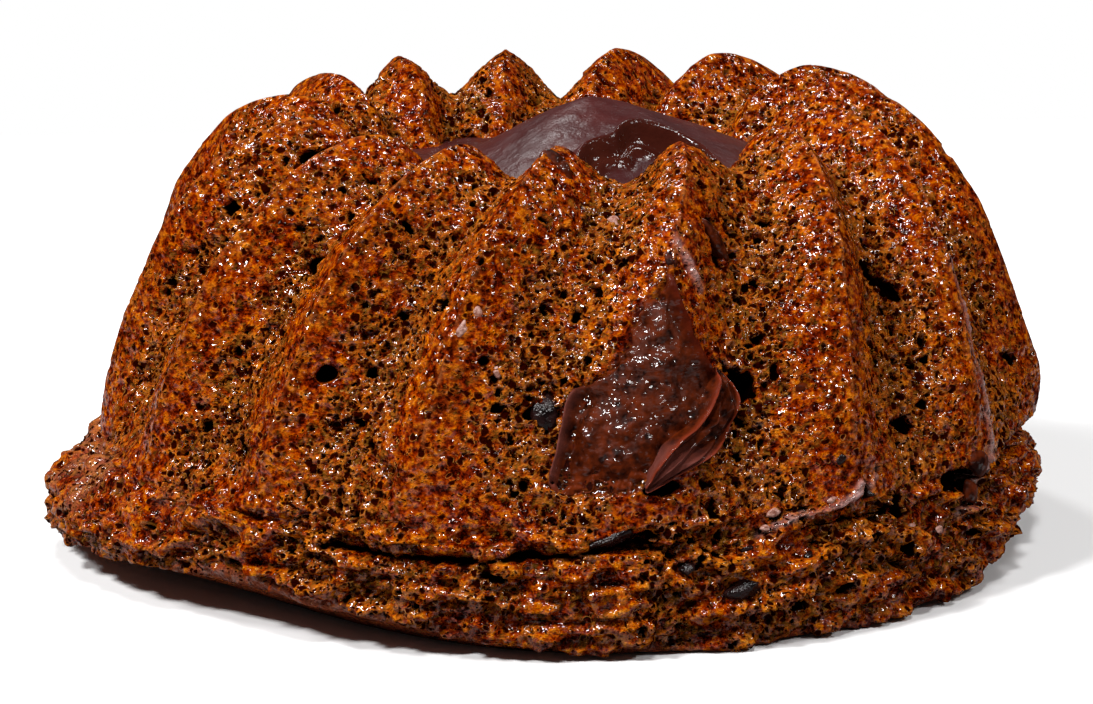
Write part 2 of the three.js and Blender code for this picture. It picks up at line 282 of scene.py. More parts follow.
def big_holes(points, azimuth, radius):
    """How deep the holes that stand out cut the skin."""
    ragged = layered(points, RAGGED_HOLES)
    depth = np.zeros(len(points))
    for at, z, wide, high, deep in BIG_HOLES:
        across = np.radians((azimuth - at + 180) % 360 - 180) * radius / wide
        reach = np.hypot(across, (points[..., 2] - z) / high) + ragged
        depth = np.maximum(depth, np.where(radius > FLANK_RADIUS, deep * smoothstep(1.05, 0.6, reach), 0))
    return depth


# where the ganache ran down the front: height, and azimuths of its left and right edges
RUN_EDGES = np.array([
    (35.2, -13.0, -13.8), (33.4, -10.6, -14.2), (31.6, -7.6, -15.0), (29.1, -6.6, -16.0),
    (27.1, -4.7, -17.2), (25.4, -2.0, -18.9), (24.6, 0.0, -19.4), (22.9, 0.8, -17.0),
    (20.3, 1.7, -12.6), (18.2, 2.5, -9.6), (16.6, 3.1, -8.3), (15.5, 2.0, -6.5),
])
MM_PER_DEGREE = 0.75


def under_run(azimuth, height):
    """1 where the sponge lies under the run of ganache, 0 clear of it."""
    order = RUN_EDGES[::-1]
    left = np.interp(height, order[:, 0], order[:, 1])
    right = np.interp(height, order[:, 0], order[:, 2])
    across = np.minimum(left - azimuth, azimuth - right) * MM_PER_DEGREE
    down = np.minimum(order[-1, 0] - height, height - order[0, 0])
    return smoothstep(0.0, 0.7, np.minimum(across, down))


# where the band tore from the flutes: depth, and the azimuths of both ends; and the height of the
# crack's line round the front, by azimuth
CRACKS = [(2.3, -10, 34), (0.8, -112, -58)]
CRACK_LINE = np.array([
    (-60, 12.0), (-20, 11.6), (-7.6, 11.3), (-3.1, 10.9), (1.4, 10.4), (6.0, 10.1), (15.1, 9.8),
    (24.7, 10.0), (29.9, 10.3), (34, 10.8), (60, 10.8),
])
CRACK_INNER_RADIUS = 40
OVERHANG = 0.3
OVERHANG_RISE = 1.1


def crack_relief(points, azimuth, radius, rough):
    """The gap that the torn band left, and the edge that overhangs it."""
    wobble = lumps(points * np.array([1, 1, 0]), 4.0, 66)
    line = np.interp(azimuth, CRACK_LINE[:, 0], CRACK_LINE[:, 1])
    above = points[:, 2] - line - 0.5 * wobble - 0.35 * rough
    crack = 0
    for depth, first, last in CRACKS:
        ends = np.minimum(azimuth - first, last - azimuth) + 3 * wobble
        crack = crack + depth * smoothstep(0, 5, ends) * (0.7 + 0.3 * wobble)
    crack = crack * (radius > CRACK_INNER_RADIUS)
    return crack * bell(above, 0, 0.35 + 0.2 * wobble), OVERHANG * crack * bell(above, OVERHANG_RISE, 0.6)


# torn strata of the band, which are flatter than they are wide
STRATA_FLATNESS = 2.8
STRATA_DEPTH = 1.25


def strata(points):
    """The ledges of the band's torn layers, from -0.5 to 0.5, and their whole relief."""
    flattened = points * np.array([1, 1, STRATA_FLATNESS])
    ledge = smoothstep(-0.1, 0.25, lumps(flattened, 3.0, 64)) - 0.5
    return ledge, STRATA_DEPTH * (0.9 * ledge + 0.5 * lumps(flattened, 1.5, 65))


# at the right the flank is pinched in at the foot of the flutes, with a knob above
RIGHT_INNER_RADIUS = 36
WAIST_DEPTH = 1.5
BAND_PULLED_IN = 1.1
KNOB = 1.0


def right_side(points, azimuth, radius, band_share):
    """How far the flank stands out, or in, at the right."""
    height = points[:, 2]
    wobble = lumps(points * np.array([1, 1, 0]), 4.0, 66)
    waist = bell(azimuth, -92, 28) * (WAIST_DEPTH * bell(height, 11.0, 2.6) + BAND_PULLED_IN * band_share)
    knob = KNOB * bell(azimuth + 4 * wobble, -88, 8) * bell(height, 17.6, 2.4)
    return (knob - waist) * (radius > RIGHT_INNER_RADIUS)


FILLET = 1.4


def lip_fillet(height, azimuth, radius):
    """The soft fillet between the flutes and the band, in front of the lip."""
    beside_lip = smoothstep(34, 44, azimuth) * smoothstep(78, 62, azimuth) * (radius > CRACK_INNER_RADIUS)
    return FILLET * beside_lip * bell(height, 11.6, 2.0)


# the smooth crust of the underside shows up to a height, by azimuth, where the cake's edge curls up
UNDERSIDE_EDGE = np.array([
    (12, 0.0), (16, 2.6), (22.3, 3.6), (32.7, 4.7), (44.6, 5.6), (52, 4.6), (58, 3.0),
])


def crust_share(azimuth, height, ragged):
    """1 on the smooth crust of the underside, 0 on the crumb above its ragged edge."""
    edge = np.interp(azimuth, UNDERSIDE_EDGE[:, 0], UNDERSIDE_EDGE[:, 1], left=0, right=0)
    return smoothstep(0.25, -0.25, height - edge - ragged)


# lines where thin syrup ran and set on the crumb: half width, and azimuths and heights
SYRUP_LINES = [
    (0.5, [
        (-61, 31.6), (-60.8, 27.8), (-60, 22.6), (-59.4, 17.4), (-58.8, 14.6), (-58, 12.3), (-56.9, 10),
        (-52, 8.8),
    ]),
    (0.35, [(-15, 37.7), (-16.6, 35.4), (-17.9, 33)]),
    (0.3, [(-21.5, 11), (-25.3, 12), (-30.3, 12.7), (-36, 14.1), (-37.9, 15.2)]),
    (0.3, [(-33.5, 12.9), (-34.6, 14.6), (-35.6, 13.3)]),
]
LINE_STEPS = 60
LINES_INNER_RADIUS = 28


def syrup_share(azimuth, height, radius):
    """1 on the middle of a syrup line, falling to 0 at its edges."""
    share = np.zeros(len(azimuth))
    for half_width, line in SYRUP_LINES:
        line = along(np.array(line, float), np.linspace(0, len(line) - 1, LINE_STEPS))
        azimuths, heights = line[:, 0], line[:, 1]
        near = (azimuth > azimuths.min() - 2) & (azimuth < azimuths.max() + 2) & (radius > LINES_INNER_RADIUS)
        near &= (height > heights.min() - 1.5) & (height < heights.max() + 1.5)
        across = np.radians(azimuth[near, None] - azimuths) * radius[near, None]
        away = np.hypot(across, (height[near, None] - heights) * 1.1).min(axis=1)
        share[near] = np.maximum(share[near], bell(away, 0, half_width))
    return share


# the gas bubbles, small to large: cell, least and greatest radius, chance of a bubble in close
# crumb, how much likelier it is in lacy crumb, and a seed
BUBBLES = [
    (0.78, 0.2, 0.4, 0.12, 0.8, 31), (1.3, 0.35, 0.64, 0.06, 0.64, 41), (2.6, 0.5, 1.0, 0.03, 0.25, 51),
]
# layers of lumps, each a height, a size and a seed: lacy patches, the swell of the skin, and grain
PATCHES = [(0.65, 4.2, 21), (0.35, 2.0, 22)]
SWELLS = [(0.3, 5.0, 61), (0.2, 1.9, 62)]
GRAINS = [(0.2, 1.0, 63), (0.12, 0.55, 67)]
BUBBLE_WARP = 0.25
BAND_FLATTENING = 0.7
RIM_HEIGHT = 0.1
SEAM_HEIGHT = 0.16
SYRUP_HEIGHT = 0.4
RUN_PRESSED_IN = 0.5


def carve_crumb(grid, band_share, section, seam):
    """Turns a smooth grid of the skin into crumb, and gives the masks its material reads."""
    normals = grid_normals(grid).reshape(-1, 3)
    points = grid.reshape(-1, 3)
    band_share, section, seam = (values.reshape(-1) for values in (band_share, section, seam))
    crest = section**3 * (1 - band_share)
    groove = (1 - section) ** 1.5 * (1 - band_share)
    azimuth = np.degrees(np.arctan2(-points[:, 0], -points[:, 1]))
    radius = np.hypot(points[:, 0], points[:, 1])
    # the well's side counts as far above anything on the flank
    flank_height = np.where(radius > FLANK_RADIUS, points[:, 2], 99)
    lip = sum_of_bells(LIPS, azimuth) / LIPS[0][0]
    rough = lumps(points, 0.7, 69)

    # what is smooth: the crests, the crust underneath, and the beads and threads of syrup
    crust = crust_share(azimuth, flank_height, 0.7 * rough) * band_share
    beaded = 0.4 + 0.6 * smoothstep(-0.25, 0.25, lumps(points, 1.5, 68))
    syrup = syrup_share(azimuth, points[:, 2] + 0.2 * rough, radius) * beaded
    calm = (1 - 0.8 * crest) * (1 - 0.85 * crust) * (1 - 0.7 * syrup)

    # bubbles, thickest in lacy patches, flattened in the band, and the holes that stand out
    warp = np.stack([lumps(points, 0.9, 11 + n) for n in range(3)], axis=-1) * BUBBLE_WARP
    cellular = points + warp
    cellular[:, 2] *= 1 + BAND_FLATTENING * band_share
    patchy = layered(points, PATCHES)
    lacy = smoothstep(-0.3, 0.35, patchy - 0.7 * crest + 0.35 * groove)
    pits, rims = zip(*(
        bubbles(cellular, normals, cell, low, high, least + more * lacy, seed)
        for cell, low, high, least, more, seed in BUBBLES
    ))
    pit = np.maximum(np.maximum.reduce(pits) * calm, big_holes(points, azimuth, radius))
    rim = np.maximum.reduce(rims) * (pit < 0.05) * calm

    # the swell of the skin, the band's torn strata, the crack, and the shapes at right and left
    ledge, torn = strata(points)
    gap, overhang = crack_relief(points, azimuth, radius, rough)
    swell = layered(points, SWELLS) * (1 - 0.6 * crest) + overhang - gap
    swell = swell + band_share * torn * (1 - crust) * (1 - 0.5 * lip)
    swell = swell + right_side(points, azimuth, radius, band_share)
    grain = layered(points, GRAINS) * calm
    under = under_run(azimuth, flank_height)
    relief = swell + grain + RIM_HEIGHT * rim - pit + SEAM_HEIGHT * seam + SYRUP_HEIGHT * syrup
    height = relief * (1 - 0.7 * under) - RUN_PRESSED_IN * under + lip_fillet(points[:, 2], azimuth, radius)
    carved = points + normals * height[:, None]

    dusted = lip * smoothstep(5, 8, points[:, 2]) * band_share * smoothstep(-0.35, 0.25, patchy)
    mauve = np.maximum.reduce([0.75 * crust, 0.8 * dusted, 0.8 * syrup])
    # the grain mask is partly painted light and shade: the crumb is lighter where its grain and the band's
    # torn ledges stand up, and darker where they sink
    grain_light_and_shade = grain * 3 + 0.9 * ledge * band_share * (1 - crust)
    # the pit mask is painted shade: it darkens the crumb in its pits and big holes, and in the crack's gap
    # under the overhang
    masks = {
        "crest": crest, "groove": groove, "pit": np.maximum(pit, gap * 0.7), "rim": rim, "lacy": lacy,
        "grain": grain_light_and_shade, "under_run": under, "mauve": mauve, "seam": seam, "syrup": syrup,
    }
    shape = grid.shape[:2]
    return carved.reshape(grid.shape), {key: value.reshape(shape) for key, value in masks.items()}


def grid_faces(rows, columns, wrap=False):
    """Four-sided faces between the points of a grid, which may close on itself round its rows."""
    i, j = np.meshgrid(np.arange(rows - 1), np.arange(columns if wrap else columns - 1), indexing="ij")
    k = (j + 1) % columns
    corners = [i * columns + j, i * columns + k, (i + 1) * columns + k, (i + 1) * columns + j]
    return np.stack(corners, axis=-1).reshape(-1, 4).tolist()


def new_piece(name, vertices, skin_faces, hidden_faces, masks, material):
    """A mesh object in metres from points in mm: a smooth skin, flat hidden faces, point masks."""
    mesh = bpy.data.meshes.new(name)
    faces = skin_faces + hidden_faces
    mesh.from_pydata((np.asarray(vertices) * MM).tolist(), [], faces)
    smooth = np.arange(len(faces)) < len(skin_faces)
    mesh.polygons.foreach_set("use_smooth", smooth)
    for key, values in masks.items():
        layer = mesh.attributes.new(key, "FLOAT", "POINT")
        values = np.append(values, np.zeros(len(vertices) - np.size(values)))
        layer.data.foreach_set("value", values.astype(np.float32))
    mesh.materials.append(material)
    piece = bpy.data.objects.new(name, mesh)
    bpy.context.scene.collection.objects.link(piece)
    return piece


def grid_piece(name, skin, masks, material, behind):
    """A closed piece: a grid of skin, with a fan from its edge to one hidden point behind it."""
    rows, columns = skin.shape[:2]
    grid = np.arange(rows * columns).reshape(rows, columns)
    edge = [*grid[:, 0], *grid[-1, 1:-1], *grid[::-1, -1], *grid[0, -2:0:-1]]
    closing = [(a, b, rows * columns) for a, b in zip(edge, edge[1:] + edge[:1])]
    vertices = np.vstack([skin.reshape(-1, 3), [behind]])
    masks = {key: value.reshape(-1) for key, value in masks.items()}
    return new_piece(name, vertices, grid_faces(rows, columns), closing, masks, material)


class Nodes:
    """Short names for building one material's node tree."""

    def __init__(self, name):
        self.material = bpy.data.materials.new(name)
        self.material.use_nodes = True
        self.tree = self.material.node_tree
        self.shader = self.tree.nodes["Principled BSDF"]
        self.where = self.add("ShaderNodeTexCoord").outputs["Object"]

    def add(self, kind, inputs=None, **settings):
        node = self.tree.nodes.new(kind)
        for key, value in settings.items():
            setattr(node, key, value)
        for key, value in (inputs or {}).items():
            self.feed(node.inputs[key], value)
        return node

    def feed(self, socket, value):
        if isinstance(value, bpy.types.NodeSocket):
            self.tree.links.new(value, socket)
        elif isinstance(value, (tuple, list)) and socket.type == "RGBA":
            socket.default_value = (*value, 1)
        else:
            socket.default_value = value

    def surface(self, sockets):
        """Feeds the shader's named sockets, and gives the finished material."""
        for key, value in sockets.items():
            self.feed(self.shader.inputs[key], value)
        return self.material

    def mask(self, name):
        """A mask stored on the mesh's points."""
        return self.add("ShaderNodeAttribute", attribute_name=name).outputs["Fac"]

    def vector(self, operation, a, b):
        return self.add("ShaderNodeVectorMath", {0: a, 1: b}, operation=operation).outputs[0]

    def pushed(self, size_mm):
        """Where a point is, pushed about by noise of a size, so that what is read there isn't round."""
        inputs = {"Vector": self.where, "Scale": 1 / (size_mm * MM), "Detail": 0.0}
        push = self.add("ShaderNodeTexNoise", inputs).outputs["Color"]
        push = self.vector("SUBTRACT", push, (0.5, 0.5, 0.5))
        return self.vector("ADD", self.where, self.vector("MULTIPLY", push, (size_mm * MM,) * 3))

    def noise(self, size_mm, detail=2.0, roughness=0.55, vector=None):
        inputs = {"Vector": vector or self.where, "Scale": 1 / (size_mm * MM), "Detail": detail,
                  "Roughness": roughness}
        return self.add("ShaderNodeTexNoise", inputs).outputs["Fac"]

    def patches(self, size_mm, *stops):
        """Soft patches of about a size, as a level read through (place, level) stops."""
        return self.ramp(self.noise(size_mm, 1.0), stops)

    def pores(self, size_mm, most, vector):
        """How far outside the nearest pore a point lies, in pore cells, plus 0.5; pores differ in size."""
        inputs = {"Vector": vector, "Scale": 1 / (size_mm * MM)}
        cell = self.add("ShaderNodeTexVoronoi", inputs, feature="F1").outputs
        return self.weighted(0.5, (cell["Color"], -most), (cell["Distance"], 1.0))

    def ramp(self, value, stops):
        """A colour or grey level read from a value through (place, level) stops."""
        node = self.add("ShaderNodeValToRGB", {"Fac": value})
        ramp = node.color_ramp
        while len(ramp.elements) < len(stops):
            ramp.elements.new(0.5)
        for element, (at, level) in zip(ramp.elements, stops):
            element.position = at
            colour = level if isinstance(level, tuple) else (level, level, level)
            element.color = (*colour, 1)
        return node.outputs["Color"]

    def math(self, operation, a, b, c=0.0, clamp=False):
        node = self.add("ShaderNodeMath", {0: a, 1: b, 2: c}, operation=operation, use_clamp=clamp)
        return node.outputs[0]

    def times(self, a, b):
        return self.math("MULTIPLY", a, b)

    def weighted(self, start, *terms):
        """A start plus values, each times its weight."""
        total = start
        for value, weight in terms:
            total = self.math("MULTIPLY_ADD", value, weight, total)
        return total

    def mix(self, share, a, b):
        node = self.add("ShaderNodeMix", data_type="RGBA")
        for socket, value in ((node.inputs[0], share), (node.inputs[6], a), (node.inputs[7], b)):
            self.feed(socket, value)
        return node.outputs[2]

    def bump(self, height, depth_mm):
        inputs = {"Height": height, "Distance": depth_mm * MM, "Strength": 1.0}
        return self.add("ShaderNodeBump", inputs).outputs["Normal"]


def screen(red, green, blue):
    """A colour given as 0 to 255 screen values, for a shader."""
    shares = (c / 255 for c in (red, green, blue))
    return tuple(((c + 0.055) / 1.055) ** 2.4 if c > 0.04 else c / 12.92 for c in shares)


# painted shade: the near black and dark red that fill the pores stand for the shade inside them
PORE_SHADE_BLACK = screen(8, 1, 0)
PORE_SHADE_RED = screen(42, 4, 0)
BURNT = screen(34, 2, 0)
RUSSET = screen(110, 24, 0)
AMBER = screen(160, 54, 0)
GOLD = screen(214, 114, 2)
LACE_TAN = screen(238, 156, 50)
# painted highlight: the light colour along the pores' edges
LACE_HIGHLIGHT = screen(246, 172, 80)
LACE_PINK = screen(206, 132, 76)
GROOVE_BROWN = screen(94, 25, 2)
GROOVE_MAUVE = screen(150, 64, 18)
CRUST_MAUVE = screen(186, 112, 84)
# partly the pale lilac of set syrup, partly a painted reflection of the white studio on its gloss
LILAC_GLAZE_AND_REFLECTION = screen(192, 150, 145)
GLAZE_RED = screen(110, 42, 2)
GLAZE_ORANGE = screen(182, 98, 10)
SYRUP_BROWN = screen(46, 12, 7)
# sizes in the crumb's finish: its grain, clots, and fine and coarse pores
GRAIN_SIZE = 0.26
CLOT_SIZE = 0.75
FINE_PORE = 0.52
COARSE_PORE = 1.0
PORE_PUSH = 0.6
CRUMB_RELIEF = 0.42
GLINT_SIZE = 0.5
GLINT_RELIEF = 0.2


def crumb_material(name):
    """Moist, caramelised crumb: golden walls with painted highlights along their edges, round pores painted
    dark with their shade, and wet glints on the walls.
    """
    n = Nodes(name)
    crest = n.mask("crest")
    syrup = n.mask("syrup")
    under_run = n.mask("under_run")

    # pores finer than the mesh's, with more of them in lacy crumb, and clots and grain between them
    around = n.pushed(PORE_PUSH)
    nearest = n.math("MINIMUM", n.pores(COARSE_PORE, 0.5, around), n.pores(FINE_PORE, 0.45, around))
    pore = n.weighted(0.08, (nearest, 1.0), (n.mask("lacy"), -0.16))
    open_pore = n.ramp(pore, [(0.4, 1.0), (0.54, 0.0)])
    wall = n.ramp(pore, [(0.5, 0.0), (0.57, 1.0), (0.68, 0.15)])
    grains = n.noise(GRAIN_SIZE, 2.0, 0.6)
    settled = n.weighted(n.times(grains, n.weighted(1.0, (crest, -0.45))), (crest, 0.22))
    clot = n.patches(CLOT_SIZE, (0.34, 0.0), (0.66, 1.0))
    relief = n.weighted(settled, (open_pore, -0.4), (wall, 0.2), (clot, 0.4))

    # colour goes by level, from burnt to lacy tan; the level rises with the clots, grain and pore walls that
    # also raise the bump, so raised crumb is painted lighter and low crumb darker, partly painted light and
    # shade and partly the crumb's own tone; the crests are glazed and the grooves dusty
    level = n.weighted(
        -0.46, (n.noise(2.6, 2.0), 0.3), (clot, 0.4), (settled, 1.05), (wall, 0.08), (n.mask("grain"), 0.2),
    )
    colour = n.ramp(level, [(0.16, BURNT), (0.36, RUSSET), (0.52, AMBER), (0.78, GOLD), (1.0, LACE_TAN)])
    glazed = n.ramp(level, [(0.16, BURNT), (0.4, GLAZE_RED), (0.66, GLAZE_ORANGE), (0.95, LACE_TAN)])
    dusty = n.ramp(level, [(0.16, BURNT), (0.42, GROOVE_BROWN), (0.72, GROOVE_MAUVE), (1.0, LACE_PINK)])
    glaze = n.times(n.ramp(crest, [(0.3, 0.0), (0.85, 1.0)]), n.patches(1.5, (0.4, 0.1), (0.62, 0.7)))
    dust = n.times(n.mask("groove"), n.patches(3.0, (0.46, 0.05), (0.64, 0.8)))
    # painted highlight: a thin ring round each fine pore is painted light, for the light its edge catches;
    # the crumb is wet there too
    web = n.ramp(pore, [(0.51, 0.0), (0.55, 1.0), (0.61, 0.0)])
    web = n.times(web, n.patches(0.8, (0.48, 0.0), (0.66, 0.6)))
    streak = n.times(syrup, n.patches(1.1, (0.34, 0.3), (0.56, 0.95)))
    seam = n.times(n.mask("seam"), n.patches(1.4, (0.42, 0.0), (0.6, 0.5)))
    # painted shade: pits, holes, the crack and the open pores are darkened for the shade that falls in them
    pore_shade = n.ramp(n.weighted(n.mask("pit"), (open_pore, 0.25)), [(0.2, 0.0), (0.65, 1.0)])
    for share, tint in (
        (glaze, glazed),
        (dust, dusty),
        (web, LACE_HIGHLIGHT),
        (n.mask("mauve"), n.mix(grains, RUSSET, CRUST_MAUVE)),
        # the syrup lines are pale lilac, lightened as a painted reflection on their gloss
        (streak, LILAC_GLAZE_AND_REFLECTION),
        (seam, n.mix(grains, GROOVE_MAUVE, LACE_PINK)),
        # painted highlight: the raised rims round the mesh's pores are painted lighter, for the light they
        # catch
        (n.times(n.mask("rim"), 0.3), LACE_TAN),
        # painted shade: dark red in the open pores, near black in the pits, holes and crack
        (open_pore, PORE_SHADE_RED),
        (pore_shade, PORE_SHADE_BLACK),
        (n.times(under_run, 0.8), SYRUP_BROWN),
    ):
        colour = n.mix(share, colour, tint)

    # the walls are wet in patches, away from pores and hollows, and wherever syrup lies on them
    wet = n.math("MAXIMUM", n.patches(1.2, (0.43, 0.05), (0.54, 1.0)), n.times(web, 1.2))
    wet = n.times(wet, n.ramp(level, [(0.25, 0.1), (0.45, 1.0)]))
    wet = n.times(wet, n.math("SUBTRACT", 1.0, n.math("MAXIMUM", pore_shade, open_pore)))
    soaked = n.math("MAXIMUM", syrup, n.times(under_run, 0.6))
    return n.surface({
        "Base Color": colour,
        "Roughness": n.ramp(grains, [(0.4, 0.7), (0.6, 0.5)]),
        "Specular IOR Level": 0.0,
        "Normal": n.bump(relief, CRUMB_RELIEF),
        "Coat Weight": n.math("MAXIMUM", wet, soaked, clamp=True),
        "Coat Roughness": 0.1,
        "Coat IOR": 1.58,
        "Coat Normal": n.bump(n.noise(GLINT_SIZE, 0.0), GLINT_RELIEF),
    })


crumb = crumb_material("crumb")

# first and last place of each wedge, counted in flutes, and its columns of mesh
WEDGES = {
    "sponge_front": (-2.5, 1.5, 350),
    "sponge_left": (1.5, 5.5, 330),
    "sponge_back": (5.5, 8.5, 220),
    "sponge_right": (8.5, 12.5, 330),
}
SKIN_SPACING = 0.2
COARSER = 1
# a fine, pale seam runs down each ridge; it starts at the crest and ends at the foot
SEAM_WIDTH = 0.17
SEAM_TOP = (1.6, 2.4)
SEAM_FOOT = (FOOT_STATION, 5.6)

ring = np.concatenate([np.linspace(a, b, n // COARSER, endpoint=False) for a, b, n in WEDGES.values()])
# a column is repeated beyond each end, so that the skin's slope is true right round
closed_ring = np.concatenate([ring[-1:] - FLUTE_COUNT, ring, ring[:1] + FLUTE_COUNT])
stations = even_stations(0, BAND_STATION, SKIN_SPACING)
station, flute = np.meshgrid(stations, closed_ring, indexing="ij")
band_share = smoothstep(FOOT_STATION - 0.4, BAND_STATION, station)
smooth = sponge_surface(station, flute)
share = flute - np.floor(flute)
section = flute_section(share, 1.0)
flute_width = 2 * np.pi * np.hypot(smooth[..., 0], smooth[..., 1]) / FLUTE_COUNT
from_ridge = (0.5 - abs(share - 0.5)) * flute_width
seam = bell(from_ridge, 0, SEAM_WIDTH) * smoothstep(*SEAM_TOP, station) * smoothstep(*SEAM_FOOT, station)
skin, masks = carve_crumb(smooth, band_share, section, seam)
skin = skin[:, 1:-1]
masks = {key: values[:, 1:-1] for key, values in masks.items()}
start = 0
for name, (first, last, columns) in WEDGES.items():
    columns //= COARSER
    taken = np.arange(start, start + columns + 1) % len(ring)
    start += columns
    wedge_masks = {key: values[:, taken] for key, values in masks.items()}
    wedge = grid_piece(name, skin[:, taken], wedge_masks, crumb, AXIS_POINT)
    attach(wedge, "root")
    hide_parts("sponge")

# ---- sponge: the band and underside --------------------------------------------------------------
# The last of the batter rose past the flutes in a plain band, which tore away from them in a crack,
# spread over the tin's edge in a lip, and baked to a flat, smooth, dark crust underneath.

BAND_COLUMNS = 1120
BAND_SPACING = 0.24
UNDERSIDE_ROWS = 12
CENTRE_ROWS = 8
UNDERSIDE_MAUVE = 0.5


def ring_fan(ring, point, turned=False):
    """Triangles from the edges of a closed ring of points to one more point."""
    pairs = zip(ring.tolist(), np.roll(ring, -1).tolist())
    return [(b, a, point) if turned else (a, b, point) for a, b in pairs]


stations = np.concatenate([
    even_stations(BAND_STATION, UNDER_STATION, BAND_SPACING),
    np.linspace(UNDER_STATION, UNDER_STATION + 1, UNDERSIDE_ROWS)[1:],
    np.linspace(UNDER_STATION + 1, UNDER_STATION + 1.97, CENTRE_ROWS)[1:],
])
ring = np.linspace(0, FLUTE_COUNT, BAND_COLUMNS, endpoint=False)
closed_ring = np.concatenate([ring[-1:] - FLUTE_COUNT, ring, ring[:1] + FLUTE_COUNT])
station, flute = np.meshgrid(stations, closed_ring, indexing="ij")
smooth = sponge_surface(station, flute)
crusted = smoothstep(UNDER_STATION - 0.2, UNDER_STATION + 0.5, station)
plain = np.zeros(smooth.shape[:2])
skin, masks = carve_crumb(smooth, plain + 1, plain, plain)
skin = skin + crusted[..., None] * (smooth - skin)
skin[..., 2] = np.maximum(skin[..., 2], 0)
skin = skin[:, 1:-1]
masks = {key: (values * (1 - crusted))[:, 1:-1].reshape(-1) for key, values in masks.items()}
masks["mauve"] = np.maximum(masks["mauve"], UNDERSIDE_MAUVE * crusted[:, 1:-1].reshape(-1))
vertices = np.vstack([skin.reshape(-1, 3), [AXIS_POINT, (0, 0, 0)]])
inside, bottom = len(vertices) - 2, len(vertices) - 1
grid = np.arange(inside).reshape(len(stations), BAND_COLUMNS)
closing = ring_fan(grid[0], inside, turned=True) + ring_fan(grid[-1], bottom)
faces = grid_faces(len(stations), BAND_COLUMNS, wrap=True)
band = new_piece("sponge_band", vertices, faces, closing, masks, crumb)
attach(band, "root")
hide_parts("sponge")

# ---- ganache in the well -------------------------------------------------------------------------
# The hollow of the ring was filled with chocolate ganache, poured warm: it set in a low, off-centre
# mound with a satin skin, which rucked up in an arch at the front over a wetter lobe.

GANACHE_LINE = 36.9
MOUND_HEIGHT = 7.2
MOUND_APEX = np.array([2.4, 3.0])
MOUND_REACH = 16.8
REACH_TO_RIGHT = 2.6
# the arch of rucked skin: where it is, and how high or deep its parts are
RUCK_CENTRE = np.array([8.3, -10.0])
RUCK_RADIUS = 7.2
RUCK_DENT = 1.7
DENT_DIRECTION = 131
RUCK_HEIGHT = 0.75
ROLL_HEIGHT = 0.75
HOLLOW_DEPTH = 0.9
DROP_UNDER_RUCK = 1.4


def mound_height(x, y):
    """Height of the skin over the ganache line, and how much of it is the wet face under the ruck."""
    away = np.hypot(x - MOUND_APEX[0], y - MOUND_APEX[1])
    reach = MOUND_REACH + REACH_TO_RIGHT * (x - MOUND_APEX[0]) / np.maximum(away, 0.01)
    slope = 1 - (np.hypot(away, 0.6) / reach) ** 1.2
    dome = MOUND_HEIGHT * 0.5 * (slope + np.hypot(slope, 0.15))
    # the arch is dented on its left, and the skin under it sinks to a wet hollow on its right
    around = np.degrees(np.arctan2(y - RUCK_CENTRE[1], x - RUCK_CENTRE[0]))
    dent = RUCK_DENT * bell(around, DENT_DIRECTION, 20)
    from_ruck = np.hypot(x - RUCK_CENTRE[0], y - RUCK_CENTRE[1]) - RUCK_RADIUS + dent
    ruck = bell(from_ruck, 0.1, 0.55) + 0.5 * bell(from_ruck, 0.6, 1.6)
    roll = bell(from_ruck, -1.7, 0.7) * smoothstep(80, 110, around)
    hollow = bell(from_ruck, -1.4, 0.8) * smoothstep(85, 65, around)
    drop = DROP_UNDER_RUCK * smoothstep(0.1, -1.1, from_ruck)
    under = smoothstep(0.35, -0.1, from_ruck) * smoothstep(-3.4, -2.0, from_ruck)
    fold = RUCK_HEIGHT * ruck - drop + ROLL_HEIGHT * roll - HOLLOW_DEPTH * hollow
    return dome + fold * np.minimum(1, dome / 1.3), under


MOUND_DARK = screen(50, 8, 8)
MOUND_LIGHT = screen(76, 22, 19)
RUCK_BROWN = screen(70, 28, 18)
WET_ROUGHNESS = (0.1, 0.1, 0.1)


def ganache_material():
    """Satin ganache, clouded where its skin set, and glossy on the wet face under the ruck."""
    n = Nodes("ganache_skin")
    cloud = n.noise(2.6, 4.0)
    wet = n.mask("wet")
    bare = n.ramp(n.noise(7.0, 2.0), [(0.42, 0.0), (0.62, 0.7)])
    satin = n.mix(bare, n.mix(cloud, MOUND_DARK, MOUND_LIGHT), MOUND_DARK)
    rough = n.ramp(n.noise(1.4), [(0.3, 0.35), (0.7, 0.49)])
    relief = n.weighted(0.0, (n.noise(1.8, 3.0), 1.0), (n.noise(0.35, 2.0), 0.12))
    return n.surface({
        "Base Color": n.mix(wet, satin, n.mix(cloud, SYRUP_BROWN, RUCK_BROWN)),
        "Roughness": n.mix(wet, rough, WET_ROUGHNESS),
        "Specular IOR Level": 0.3,
        "Normal": n.bump(relief, 0.25),
    })


